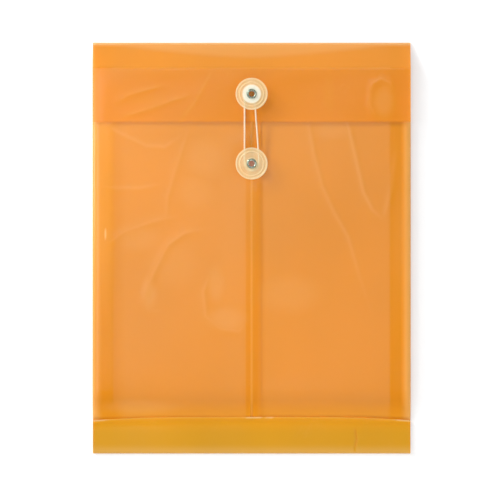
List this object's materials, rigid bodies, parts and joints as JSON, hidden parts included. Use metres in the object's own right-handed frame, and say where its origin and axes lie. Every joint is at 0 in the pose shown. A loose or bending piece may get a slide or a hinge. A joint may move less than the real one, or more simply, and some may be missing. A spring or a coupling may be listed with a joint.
{
  "type": "string tie envelope",
  "caption": "Flat gusseted document envelope of translucent film with a fold-over flap, held shut by a string wound round riveted buttons.",
  "frame": {"origin": "centre of the back, on the surface that the envelope lies on", "axes": "+X across the envelope to the right of its front, +Y from the bottom fold to the crease of the flap, +Z out of the front"},
  "size_m": [0.248, 0.321, 0.0131],
  "materials": {
    "film": "glossy translucent orange film",
    "button_plastic": "smooth whitish translucent moulding",
    "eyelet_metal": "bright nickel plate",
    "string": "twisted white cord"
  },
  "bodies": {
    "pocket": {"back_panel": "film", "bottom_tab_outer": "film", "bottom_tab_inner": "film", "left_gusset_tab": "film", "right_gusset_tab": "film", "left_gusset_back_leaf": "film", "left_gusset_front_leaf": "film", "right_gusset_back_leaf": "film", "right_gusset_front_leaf": "film"},
    "front": {"front_left_foot": "film", "front_right_foot": "film", "front_left_panel": "film", "front_right_panel": "film", "front_left_mouth": "film", "front_right_mouth": "film", "lower_button": "button_plastic", "lower_eyelet": "eyelet_metal"},
    "flap": {"flap_rise": "film", "flap_panel": "film", "upper_button": "button_plastic", "upper_eyelet": "eyelet_metal", "tie_string": "string"}
  },
  "joints": [
    {"name": "flap_hinge", "type": "hinge", "parent": "pocket", "child": "flap", "pos_m": [0, 0.1605, 0.0006], "axis": [-1, 0, 0], "range_deg": [0, 150], "deforming": ["tie_string"]},
    {"name": "pocket_mouth", "type": "hinge", "parent": "pocket", "child": "front", "pos_m": [0, -0.1345, 0.00085], "axis": [1, 0, 0], "range_deg": [0, 5.2], "deforming": ["left_gusset_back_leaf", "left_gusset_front_leaf", "right_gusset_back_leaf", "right_gusset_front_leaf"]}
  ],
  "couplings": [
    {"joint": "pocket_mouth", "follows": "flap_hinge", "ratio": 0.0346}
  ]
}
